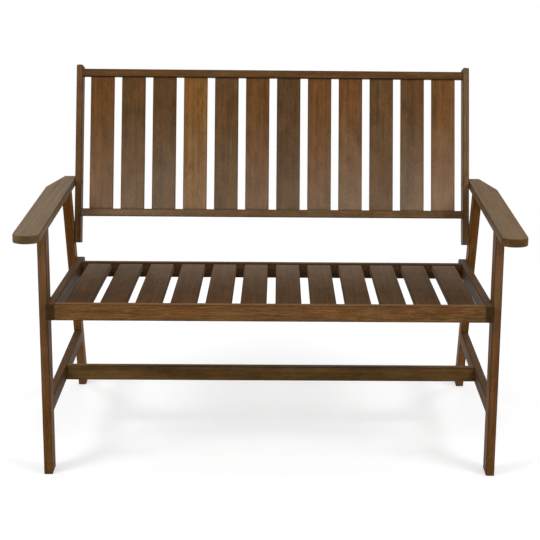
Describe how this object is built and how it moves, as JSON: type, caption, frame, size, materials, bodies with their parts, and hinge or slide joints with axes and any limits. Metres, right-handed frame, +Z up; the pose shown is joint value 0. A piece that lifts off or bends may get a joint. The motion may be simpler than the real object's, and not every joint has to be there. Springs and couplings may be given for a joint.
{
  "type": "companion seat bench",
  "caption": "Two-seat hardwood garden bench with a slatted seat and leaning slatted back, flat armrests and A-shaped side frames joined by a stretcher.",
  "frame": {"origin": "on the ground, under the middle of the bench's overall box", "axes": "+X along the seat, to the right of someone facing the bench from the front; +Y from the front to the back; +Z up"},
  "size_m": [1.195, 0.7631, 0.9306],
  "materials": {
    "side_frame_wood": "dark brown stained and oiled hardwood, grain along each piece",
    "armrest_wood": "dark brown stained and oiled hardwood, slightly greyed on its top",
    "seat_wood": "dark brown stained and oiled hardwood, tone differs from slat to slat",
    "back_wood": "dark brown stained and oiled hardwood, tone differs from slat to slat",
    "dowel_wood": "plain turned dowel, unfinished",
    "bolt_steel": "bronze-dark plated steel",
    "nut_steel": "zinc-plated steel"
  },
  "bodies": {
    "root": {"armrest_bolts": "bolt_steel", "armrest_dowels": "dowel_wood", "armrest_insert_nuts": "nut_steel", "armrest_left": "armrest_wood", "armrest_right": "armrest_wood", "back_bolts": "bolt_steel", "back_bottom_rail": "back_wood", "back_frame_dowels": "dowel_wood", "back_insert_nuts": "nut_steel", "back_slat_01": "back_wood", "back_slat_02": "back_wood", "back_slat_03": "back_wood", "back_slat_04": "back_wood", "back_slat_05": "back_wood", "back_slat_06": "back_wood", "back_slat_07": "back_wood", "back_slat_08": "back_wood", "back_slat_09": "back_wood", "back_slat_10": "back_wood", "back_slat_11": "back_wood", "back_slat_12": "back_wood", "back_stile_left": "back_wood", "back_stile_right": "back_wood", "back_top_rail": "back_wood", "front_leg_left": "side_frame_wood", "front_leg_right": "side_frame_wood", "long_stretcher": "side_frame_wood", "long_stretcher_dowels": "dowel_wood", "rear_leg_left": "side_frame_wood", "rear_leg_right": "side_frame_wood", "seat_bolts": "bolt_steel", "seat_frame_dowels": "dowel_wood", "seat_front_rail": "seat_wood", "seat_insert_nuts": "nut_steel", "seat_rear_rail": "seat_wood", "seat_side_rail_left": "seat_wood", "seat_side_rail_right": "seat_wood", "seat_slat_01": "seat_wood", "seat_slat_02": "seat_wood", "seat_slat_03": "seat_wood", "seat_slat_04": "seat_wood", "seat_slat_05": "seat_wood", "seat_slat_06": "seat_wood", "seat_slat_07": "seat_wood", "seat_slat_08": "seat_wood", "seat_slat_09": "seat_wood", "seat_slat_10": "seat_wood", "seat_slat_11": "seat_wood", "seat_slat_12": "seat_wood", "side_frame_dowels": "dowel_wood", "side_stretcher_left": "side_frame_wood", "side_stretcher_right": "side_frame_wood", "stretcher_barrel_nuts": "nut_steel", "stretcher_bolts": "bolt_steel"}
  },
  "joints": []
}
